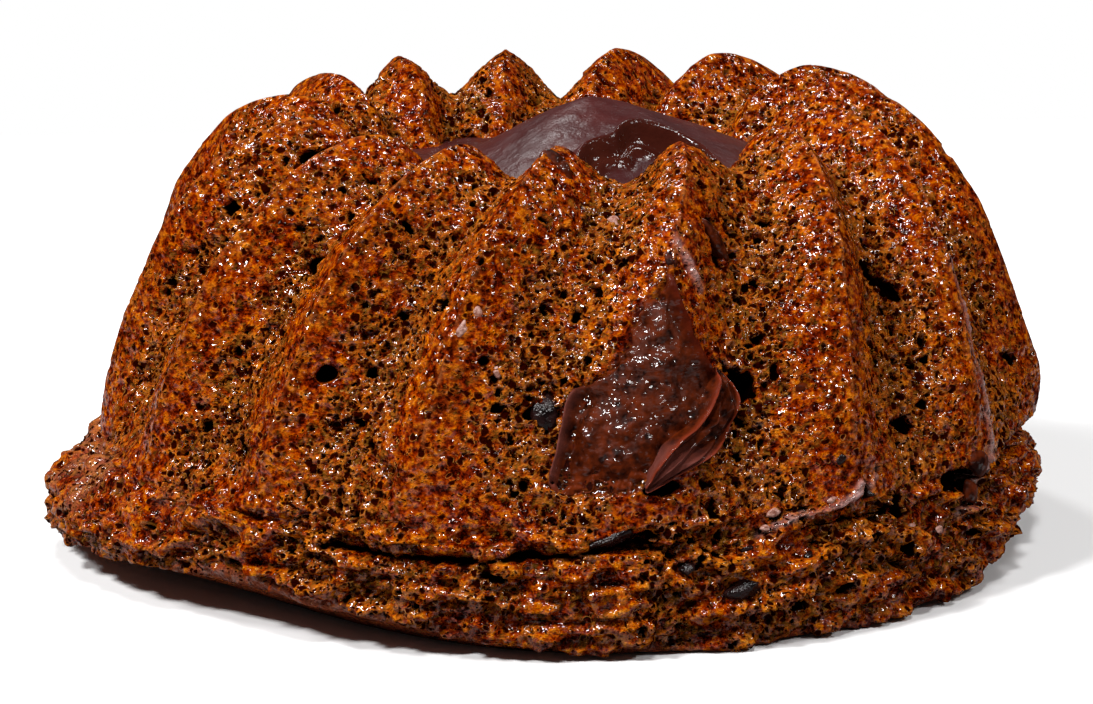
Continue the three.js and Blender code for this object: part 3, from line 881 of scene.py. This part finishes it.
MOUND_COLUMNS = 420
MOUND_ROWS = 120
EDGE_OVERLAP = 1.03
MOUND_LUMPS = [(0.12, 3.5, 81), (0.05, 1.2, 82)]
WELL_POINT = (0, 0, 27)
ring = np.linspace(0, FLUTE_COUNT, MOUND_COLUMNS, endpoint=False)
edge = sponge_surface(np.zeros(MOUND_COLUMNS), ring)[:, :2] * EDGE_OVERLAP
share = np.linspace(0.01, 1, MOUND_ROWS)[:, None, None]
flat = MOUND_APEX + share * (edge[None] - MOUND_APEX)
height, under_ruck = mound_height(flat[..., 0], flat[..., 1])
skin = np.concatenate([flat, (GANACHE_LINE + height)[..., None]], axis=-1)
skin[..., 2] += layered(skin, MOUND_LUMPS)
vertices = np.vstack([skin.reshape(-1, 3), [(*MOUND_APEX, skin[0, :, 2].mean()), WELL_POINT]])
top, foot = len(vertices) - 2, len(vertices) - 1
grid = np.arange(top).reshape(MOUND_ROWS, MOUND_COLUMNS)
faces = grid_faces(MOUND_ROWS, MOUND_COLUMNS, wrap=True) + ring_fan(grid[0], top, turned=True)
masks = {"wet": under_ruck.reshape(-1)}
mound = new_piece("ganache_mound", vertices, faces, ring_fan(grid[-1], foot), masks, ganache_material())
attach(mound, "root")
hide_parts("ganache_core")

# ---- ganache run down the front ------------------------------------------------------------------
# Ganache that ran down between the ruck and the front flute: a thin, syrupy skin that sags over the
# crumb, with a glossy dark bead down its right edge and a dull, raised rim low on its left.


def skin_spot(azimuth, height):
    """Points and normals of the smooth flank, in mm, at azimuths and heights."""
    station = flank_station(azimuth, height)
    flute = flute_at(azimuth, station)
    spot = sponge_surface(station, flute)
    down = sponge_surface(station + 0.03, flute) - sponge_surface(station - 0.03, flute)
    across = sponge_surface(station, flute + 0.01) - sponge_surface(station, flute - 0.01)
    normal = np.cross(across, down)
    return spot, normal / np.linalg.norm(normal, axis=-1, keepdims=True)


SYRUP_DARK = screen(24, 3, 0)
SYRUP_AMBER = screen(102, 36, 7)
SYRUP_RED = screen(80, 19, 4)
LIT_SYRUP_EDGE = screen(128, 46, 24)
SYRUP_PAINTED_SHEEN = screen(84, 40, 28)
RIM_MAUVE = screen(104, 54, 46)
RIPPLE_SIZE = 0.8
# the ripples are flatter than they are wide
RIPPLE_SHAPE = (1.0, 1.0, 2.2)
RIPPLE_RELIEF = 0.22


def syrup_material():
    """Wet, syrupy ganache: near black where it is thick, amber where thin, and in one patch glossy and
    painted a hazy grey, a painted sheen.
    """
    n = Nodes("ganache_wet")
    painted_sheen_and_gloss = n.mask("painted_sheen_and_gloss")
    dull = n.mask("dull")
    grains = n.noise(0.5, 1.0)
    pool = n.noise(1.3, 2.0)
    webs = n.ramp(n.pores(1.0, 0.45, n.where), [(0.5, 0.0), (0.66, 0.12)])
    level = n.weighted(pool, (webs, 1.0), (n.mask("thin"), 0.25))
    colour = n.mix(n.ramp(level, [(0.42, 0.0), (0.9, 1.0)]), SYRUP_DARK, SYRUP_AMBER)
    for share, tint in (
        # painted sheen: a hazy grey in the patch where the film reflects the studio
        (n.times(painted_sheen_and_gloss, n.ramp(grains, [(0.42, 0.0), (0.58, 0.9)])), SYRUP_PAINTED_SHEEN),
        (dull, RIM_MAUVE),
        (n.mask("red"), SYRUP_RED),
        (n.mask("edge"), LIT_SYRUP_EDGE),
    ):
        colour = n.mix(share, colour, tint)
    glossy = n.times(painted_sheen_and_gloss, n.patches(1.8, (0.38, 0.3), (0.55, 1.0)))
    wet = n.math("MAXIMUM", glossy, n.patches(0.8, (0.52, 0.0), (0.62, 0.8)))
    ripples = n.noise(RIPPLE_SIZE, 0.5, vector=n.vector("MULTIPLY", n.where, RIPPLE_SHAPE))
    return n.surface({
        "Base Color": colour,
        "Roughness": 0.45,
        "Specular IOR Level": 0.06,
        "Normal": n.bump(n.weighted(0.0, (pool, 0.9), (grains, 0.35)), 0.2),
        "Coat Weight": n.math("SUBTRACT", wet, n.times(dull, 0.6), clamp=True),
        "Coat Roughness": 0.08,
        "Coat Normal": n.bump(ripples, RIPPLE_RELIEF),
    })


syrup = syrup_material()
SYRUP_MASKS = {"painted_sheen_and_gloss": 0, "dull": 0, "red": 0, "thin": 0, "edge": 0}
RUN_ROWS = 170
RUN_COLUMNS = 130
RUN_MM_PER_DEGREE = 0.76
EDGE_INSET = 0.38
# heights between which the left edge stands up in a rim
RIM_TOP = 25.2
RIM_FOOT = 15.6
# thickness of the film, and how much more the rim and the bead stand out
FILM = 0.15
RUN_RIM = 1.05
BESIDE_RIM = 0.5
BEAD = 0.75
FRAYED = 0.4
EDGE_SUNK = 1.1
DRAPE = [(0.42, 1.7, 92), (0.16, 0.85, 93), (0.05, 0.45, 94)]
RUN_BEHIND = (8.5, -33.0, 22.0)

edges = RUN_EDGES[::-1]
run_foot, run_top = edges[0, 0], edges[-1, 0]
height = np.linspace(run_top + 0.6, run_foot - 0.3, RUN_ROWS)[:, None]
left = np.interp(height, edges[:, 0], edges[:, 1]) + 0.5
right = np.interp(height, edges[:, 0], edges[:, 2]) - 0.5
azimuth = left + np.linspace(0, 1, RUN_COLUMNS) * (right - left)
height = np.broadcast_to(height, azimuth.shape)
spot, normal = skin_spot(azimuth, height)

# distances in mm from the run's ragged edges
wobble = 0.25 * lumps(spot, 1.1, 91)
ragged = wobble + 0.35 * lumps(spot, 0.6, 97)
upper = smoothstep(24, 26, height)
from_left = (left - azimuth) * RUN_MM_PER_DEGREE - EDGE_INSET + wobble + ragged * upper
from_right = (azimuth - right) * RUN_MM_PER_DEGREE - EDGE_INSET + 0.5 * wobble
from_ends = np.minimum(run_top - height, (height - run_foot) * 0.5 + 2.5 * ragged)
inside = np.minimum(np.minimum(from_left, from_right), from_ends)

# how high the film stands off the flank, with its rim, its bead and its thin, frayed places
rim_share = smoothstep(RIM_FOOT, RIM_FOOT + 1.5, height) * smoothstep(RIM_TOP, RIM_TOP - 1.2, height)
rim = bell(from_left, 0.45, 0.36) * rim_share
bead = bell(from_right, 0.6, 0.55) * smoothstep(24.5, 26.5, height)
thin = np.maximum(smoothstep(19, 16.5, height), smoothstep(1.6, 0.4, from_left) * upper)
film = FILM + layered(spot, DRAPE) * (1 - 0.8 * bead) + RUN_RIM * rim + BEAD * bead
film = film - BESIDE_RIM * rim_share * bell(from_left, 1.4, 0.6)
film = film - (0.4 + 0.5 * lumps(spot, 0.9, 98)) * thin * (1 - rim)
near_edge = np.minimum(from_left + 3 * rim_share, from_ends) + 0.5 * lumps(spot, 0.5, 99)
film = film - FRAYED * (1 - smoothstep(0.2, 1.5, near_edge))
film = np.where(inside > 0, film * smoothstep(0, 0.5, inside), 0)
film = film - EDGE_SUNK * smoothstep(0.25, -0.2, inside)
# painted sheen: over the upper run, clear of its edges, the film is glossy and painted a hazy grey
painted_sheen_and_gloss = smoothstep(20.5, 24, height) * smoothstep(1.0, 2.2, from_right) * smoothstep(0.6, 2.0, from_left)
painted_sheen_and_gloss = painted_sheen_and_gloss * (0.55 + 0.45 * lumps(spot, 1.8, 95))
masks = {"painted_sheen_and_gloss": painted_sheen_and_gloss, "dull": np.clip(rim, 0, 1), "red": 0.7 * bead, "thin": thin, "edge": 0 * thin}
run = grid_piece("ganache_run_skin", spot + normal * film[..., None], masks, syrup, RUN_BEHIND)
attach(run, "root")
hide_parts("ganache_run")

# ---- ganache run: its peeled fold ----------------------------------------------------------------
# The skin of the run dried, let go of the crumb along its lower right edge and folded over on
# itself: a stiff, faceted leaf that ends in a tongue, with thin, red, translucent edges that are
# painted light along the crease and the outer edge, a painted highlight.

# azimuth and height down the crease where the leaf stands up, and down its outer edge
PEEL_CREASE = np.array([
    (-18.6, 26.0), (-16.5, 23.6), (-14.2, 21.6), (-11.6, 20.4), (-9.5, 18.7), (-8.1, 16.5),
])
PEEL_EDGE = np.array([
    (-19.3, 25.6), (-20.5, 23.2), (-19.9, 21.4), (-16.9, 19.0), (-12.4, 17.5), (-8.2, 16.1),
])
PEEL_ROWS = 130
PEEL_COLUMNS = 48
# how high the leaf stands off the flank, at shares of the way from the crease to its outer edge
PEEL_PROFILE = np.array([
    (-0.12, -0.5), (0.0, 1.2), (0.03, 1.9), (0.07, 1.6), (0.24, 0.7), (0.44, 1.5), (0.56, 0.5), (0.8, 1.25),
    (0.9, 0.8), (0.97, 1.5), (1.0, 1.2), (1.03, 0.4), (1.08, -0.7),
])
FACETS = 2.6
FACET_RELIEF = 0.9
PEEL_BEHIND = (9.5, -34.5, 20.5)
down = np.linspace(0, len(PEEL_CREASE) - 1, PEEL_ROWS)
share = np.linspace(PEEL_PROFILE[0, 0], PEEL_PROFILE[-1, 0], PEEL_COLUMNS)[None, :]
inner, outer = along(PEEL_CREASE, down)[:, None], along(PEEL_EDGE, down)[:, None]
track = inner + share[..., None] * (outer - inner)
spot, normal = skin_spot(track[..., 0], track[..., 1])
along_peel = (down / down[-1])[:, None]
body = smoothstep(0, 0.12, along_peel) * (1 - 0.45 * smoothstep(0.75, 1.0, along_peel))
facet = 0.5 - 2 * abs((FACETS * along_peel + 0.8 * share) % 1 - 0.5)
stand = np.interp(share, PEEL_PROFILE[:, 0], PEEL_PROFILE[:, 1]) * (0.25 + 0.75 * body)
stand = stand + FACET_RELIEF * facet * body * (share > 0.1) + 0.12 * lumps(spot, 0.8, 96)
inner_edge = bell(share, 0.04, 0.035)
outer_edge = bell(share, 0.97, 0.035)
tongue = smoothstep(0.55, 0.75, along_peel) * (1 - inner_edge)
# painted highlight: the crease and the outer edge are painted a light red, for the light on them and through
# the thin syrup
edge_light = np.clip(inner_edge + 0.7 * outer_edge, 0, 1)
masks = {key: 0 * stand for key in SYRUP_MASKS}
masks["dull"] = 0.85 * tongue
masks["edge"] = masks["edge"] + edge_light
peel = grid_piece("ganache_run_peel", spot + normal * stand[..., None], masks, syrup, PEEL_BEHIND)
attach(peel, "root")
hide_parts("ganache_run")

# ---- drops of ganache on the crumb ---------------------------------------------------------------
# Small drops of the same wet ganache: one that slid into a slit right of the front flute, two that
# smear that flute's tip, one at the head of the run and one beside it, and two that filled the edge
# of a hole low at the right.

PEBBLE_ROWS = 15
PEBBLE_COLUMNS = 26
POLE_GAP = 0.04
SUNK_SHARE = 0.3


def pebble(azimuth, height, wide, tall, thick, turn, planes, seed):
    """Points and faces of a small solid set in the flank: a smooth drop, or with flat broken faces."""
    polar = np.linspace(POLE_GAP, np.pi - POLE_GAP, PEBBLE_ROWS)[:, None]
    around = np.arange(PEBBLE_COLUMNS) * 2 * np.pi / PEBBLE_COLUMNS
    across = np.broadcast_to(np.cos(polar), (PEBBLE_ROWS, PEBBLE_COLUMNS))
    way = np.stack([np.sin(polar) * np.cos(around), np.sin(polar) * np.sin(around), across], axis=-1)
    reach = 1 + 0.2 * lumps(way, 0.9, seed)
    keys = np.arange(planes)[:, None] * np.array([1, 3, 7])
    facings = np.stack([lattice_random(keys, seed + k) - 0.5 for k in range(3)], axis=-1)
    offsets = 0.6 + 0.3 * lattice_random(keys, seed + 5)
    for facing, offset in zip(facings, offsets):
        facing = facing / np.linalg.norm(facing)
        reach = np.minimum(reach, offset / np.maximum(way @ facing, 0.05))
    spot, normal = skin_spot(np.array([azimuth], float), np.array([height], float))
    level = np.cross(normal[0], [0, 0, 1.0])
    level = level / np.linalg.norm(level)
    rise = np.cross(level, normal[0])
    angle = -math.radians(turn)
    first = level * math.cos(angle) + rise * math.sin(angle)
    second = rise * math.cos(angle) - level * math.sin(angle)
    sizes = np.array([wide, tall, thick]) / 2
    points = (way * reach[..., None] * sizes).reshape(-1, 3) @ np.stack([first, second, normal[0]])
    faces = [face[::-1] for face in grid_faces(PEBBLE_ROWS, PEBBLE_COLUMNS, wrap=True)]
    first_end = list(range(PEBBLE_COLUMNS))
    last_end = [k + (PEBBLE_ROWS - 1) * PEBBLE_COLUMNS for k in first_end][::-1]
    return spot[0] + points - normal[0] * thick * SUNK_SHARE, [*faces, first_end, last_end]


def pebbles_piece(name, rows, planes, masks, material, seed):
    """One piece made of all the small solids of a table, each a little different by its seed."""
    vertices, faces = [], []
    for n, row in enumerate(rows):
        points, its_faces = pebble(*row, planes, seed + 11 * n)
        start = n * PEBBLE_ROWS * PEBBLE_COLUMNS
        vertices.append(points)
        faces += [[start + k for k in face] for face in its_faces]
    vertices = np.vstack(vertices)
    masks = {key: np.full(len(vertices), value) for key, value in masks.items()}
    return new_piece(name, vertices, faces, [], masks, material)


# azimuth, height, width, height, thickness and turn in degrees, here and for the bits and flakes
DROPS = [
    (-22.6, 36.9, 1.5, 5.6, 1.5, 24), (2.2, 44.1, 1.9, 2.9, 2.2, 14), (0.4, 43.2, 1.5, 2.8, 2.0, -8),
    (-13.7, 36.2, 1.3, 1.9, 1.1, 10), (-55.3, 13.2, 2.8, 2.6, 1.1, 0), (-54.4, 10.4, 2.2, 2.4, 1.0, 20),
    (-29.6, 23.6, 1.2, 1.0, 0.8, 0),
]
SMOOTH = 0
drops = pebbles_piece("ganache_drops", DROPS, SMOOTH, {**SYRUP_MASKS, "red": 0.05}, syrup, 201)
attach(drops, "root")

# ---- chocolate pieces ----------------------------------------------------------------------------
# Bits of dark chocolate from the batter that baked into the crust: a slab lodged in the crack, a
# lump beside the run, a fleck above it and broken bits in the band, all with flat broken faces.

CHOCOLATE_BITS = [
    (-3.6, 11.6, 7.2, 2.0, 2.4, 14), (3.2, 22.6, 2.7, 4.3, 2.2, 14), (-6.9, 36.8, 2.8, 1.4, 1.9, 24),
    (-19.3, 6.1, 4.0, 2.5, 2.4, 6), (-12.7, 8.5, 1.6, 1.4, 1.5, 0), (-20.2, 9.8, 2.2, 1.3, 1.5, -8),
    (-32.2, 17.1, 1.7, 1.5, 1.3, 30), (-36.7, 13.1, 1.5, 1.1, 1.1, 0), (-27.5, 8.4, 1.3, 1.1, 1.1, 0),
    (168.0, 15.0, 2.4, 1.6, 1.5, 12), (104.0, 24.0, 1.5, 1.3, 1.2, 0), (-128.0, 20.0, 1.8, 1.3, 1.4, -20),
]
BROKEN_FACES = 12
n = Nodes("dark_chocolate")
bloom = n.noise(0.9, 3.0)
chocolate = n.surface({
    "Base Color": n.ramp(bloom, [(0.35, screen(13, 5, 5)), (0.7, screen(44, 22, 21))]),
    "Roughness": n.ramp(bloom, [(0.3, 0.14), (0.7, 0.3)]),
    "Specular IOR Level": 0.25,
    "Normal": n.bump(n.noise(0.7, 3.0), 0.25),
})
bits = pebbles_piece("chocolate_bits", CHOCOLATE_BITS, BROKEN_FACES, {}, chocolate, 301)
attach(bits, "root")

# ---- pale flakes ---------------------------------------------------------------------------------
# Thin flakes of sugary syrup that dried pale and pinkish on the crumb, mostly along the right of
# the crack, with a few near the tip of the run.

PALE_FLAKES = [
    (-23.6, 12.8, 1.7, 1.0, 0.8, 20), (-24.9, 11.7, 1.5, 1.1, 0.8, -30), (-22.3, 11.5, 1.0, 0.7, 0.6, 0),
    (-30.8, 13.4, 1.4, 0.8, 0.7, 10), (-34.6, 14.1, 1.3, 0.9, 0.7, 40), (-28.0, 12.0, 1.0, 0.6, 0.6, 0),
    (-7.6, 38.3, 1.8, 1.9, 1.5, 0), (-6.0, 37.7, 1.1, 1.1, 1.3, 30), (-42.6, 9.0, 1.2, 0.8, 0.7, -15),
    (-47.0, 8.0, 1.0, 0.8, 0.6, 25), (9.0, 26.4, 0.9, 1.1, 0.5, 0), (11.6, 31.9, 0.9, 1.6, 0.6, 0),
    (13.3, 30.7, 1.5, 3.0, 0.6, -42), (38.0, 35.2, 0.9, 0.6, 0.5, 0),
]
FLAKE_FACES = 7
n = Nodes("dried_syrup")
cloud = n.noise(0.5, 3.0)
flake = n.surface({
    "Base Color": n.ramp(cloud, [(0.35, screen(140, 84, 66)), (0.65, screen(206, 160, 146))]),
    "Roughness": n.ramp(cloud, [(0.3, 0.25), (0.7, 0.45)]),
    "Normal": n.bump(n.noise(0.3, 3.0), 0.15),
})
flakes = pebbles_piece("pale_flakes", PALE_FLAKES, FLAKE_FACES, {}, flake, 401)
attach(flakes, "root")

# ---- studio: floor, light and camera -------------------------------------------------------------
# A sheet of plain white paper in a white studio, under a ring of six small soft boxes: the
# strongest at the front left, and the weakest behind at the right. Sizes of the paper and the
# lamps are in metres, and the camera's are in mm.

PAPER_REACH = 0.22
PAPER_SEEN = (0.96, 0.96, 0.96)
PAPER_BOUNCE = (0.3, 0.3, 0.3)
corners = [(x * PAPER_REACH, y * PAPER_REACH, 0) for x, y in ((-1, -1), (1, -1), (1, 1), (-1, 1))]
floor_mesh = bpy.data.meshes.new("floor")
floor_mesh.from_pydata(corners, [], [(0, 1, 2, 3)])
floor = bpy.data.objects.new("floor", floor_mesh)
bpy.context.scene.collection.objects.link(floor)
n = Nodes("paper")
# the paper looks white, but throws only a little of its light back at the cake
seen = n.add("ShaderNodeLightPath").outputs["Is Camera Ray"]
paper = n.surface({
    "Base Color": n.mix(seen, PAPER_BOUNCE, PAPER_SEEN),
    "Roughness": 0.9,
    "Specular IOR Level": 0.1,
})
floor_mesh.materials.append(paper)

# the studio is white behind the cake, and gives the cake itself only a faint light
STUDIO_LIGHT = 0.04
world = bpy.data.worlds.new("studio")
world.use_nodes = True
background = world.node_tree.nodes["Background"]
background.inputs["Color"].default_value = (1, 1, 1, 1)
ray = world.node_tree.nodes.new("ShaderNodeLightPath")
strength = world.node_tree.nodes.new("ShaderNodeMath")
strength.operation = "MULTIPLY_ADD"
strength.inputs[1].default_value = 1 - STUDIO_LIGHT
strength.inputs[2].default_value = STUDIO_LIGHT
world.node_tree.links.new(ray.outputs["Is Camera Ray"], strength.inputs[0])
world.node_tree.links.new(strength.outputs[0], background.inputs["Strength"])
bpy.context.scene.world = world

# azimuth, elevation and power of each soft box
LAMPS = {
    "key": (48, 50, 3.8), "front": (-8, 62, 1.9), "right": (-62, 42, 1.3), "left": (100, 40, 1.5),
    "back left": (150, 52, 1.1), "back right": (-140, 50, 0.85),
}
LAMP_DISTANCE = 0.7
LAMP_SIZE = 0.1
LAMP_TARGET = Vector((0, 0, 0.02))
for name, (azimuth, elevation, power) in LAMPS.items():
    angle = math.radians(elevation)
    spot = Vector(place(azimuth, LAMP_DISTANCE * math.cos(angle), LAMP_DISTANCE * math.sin(angle)))
    light = bpy.data.lights.new(name, "AREA")
    light.size = LAMP_SIZE
    light.energy = power
    lamp = bpy.data.objects.new(name, light)
    lamp.location = spot
    lamp.rotation_euler = (LAMP_TARGET - spot).to_track_quat("-Z", "Y").to_euler()
    bpy.context.scene.collection.objects.link(lamp)

# the camera stands 450 mm off, a little above the cake, and looks just left of and below the
# middle of its height, so that the cake sits right of and above the middle of the frame
CAMERA_TARGET = Vector((0, 0, 25.45))
CAMERA_DISTANCE = 450.0
CAMERA_ELEVATION = math.radians(12.66)
CAMERA_ROLL = math.radians(-0.88)
CAMERA_LENS = 145.4
AIM_LEFT = 2.24
AIM_BELOW = 7.15
back = Vector((0, -math.cos(CAMERA_ELEVATION), math.sin(CAMERA_ELEVATION)))
right, up = Vector((1, 0, 0)), Vector((1, 0, 0)).cross(-back)
right, up = (
    right * math.cos(CAMERA_ROLL) + up * math.sin(CAMERA_ROLL),
    up * math.cos(CAMERA_ROLL) - right * math.sin(CAMERA_ROLL),
)
position = CAMERA_TARGET + back * CAMERA_DISTANCE
forward = (CAMERA_TARGET - right * AIM_LEFT - up * AIM_BELOW - position).normalized()
right = (right - forward * right.dot(forward)).normalized()
up = right.cross(forward)
camera_data = bpy.data.cameras.new("camera")
camera_data.sensor_width = 36
camera_data.lens = CAMERA_LENS
camera_data.clip_start = 0.01
camera = bpy.data.objects.new("camera", camera_data)
turn = Matrix((right, up, -forward)).transposed().to_4x4()
camera.matrix_world = Matrix.Translation(position * MM) @ turn
bpy.context.scene.collection.objects.link(camera)
bpy.context.scene.camera = camera
bpy.context.scene.view_settings.view_transform = "Standard"
